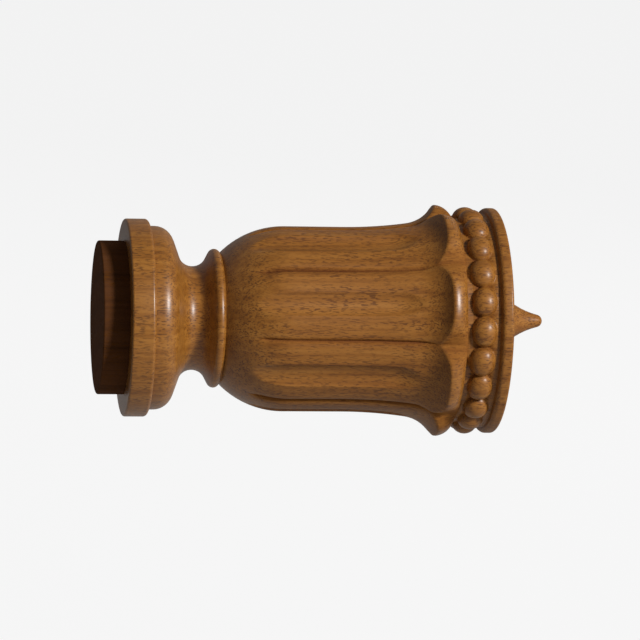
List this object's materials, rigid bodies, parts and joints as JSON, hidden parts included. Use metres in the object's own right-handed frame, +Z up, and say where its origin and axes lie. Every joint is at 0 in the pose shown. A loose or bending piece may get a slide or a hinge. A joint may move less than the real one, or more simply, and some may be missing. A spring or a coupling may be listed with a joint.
{
  "type": "curtain pole finial",
  "caption": "Turned and carved wooden finial: collar, slim neck, fluted bell with curled leaf tips, bead ring, end disc and small spike; its spigot closes the end of a curtain pole.",
  "frame": {"origin": "on the turning axis, in the plane of the collar's back face, where the spigot starts", "axes": "+X along the turning axis from the collar towards the spike; +Z up, through a crease between two leaves and the middle of one bead"},
  "size_m": [0.1475, 0.0762, 0.0762],
  "materials": {
    "wood": "satin lacquer over mid-brown stained hardwood"
  },
  "bodies": {
    "root": {"finial": "wood"}
  },
  "joints": []
}
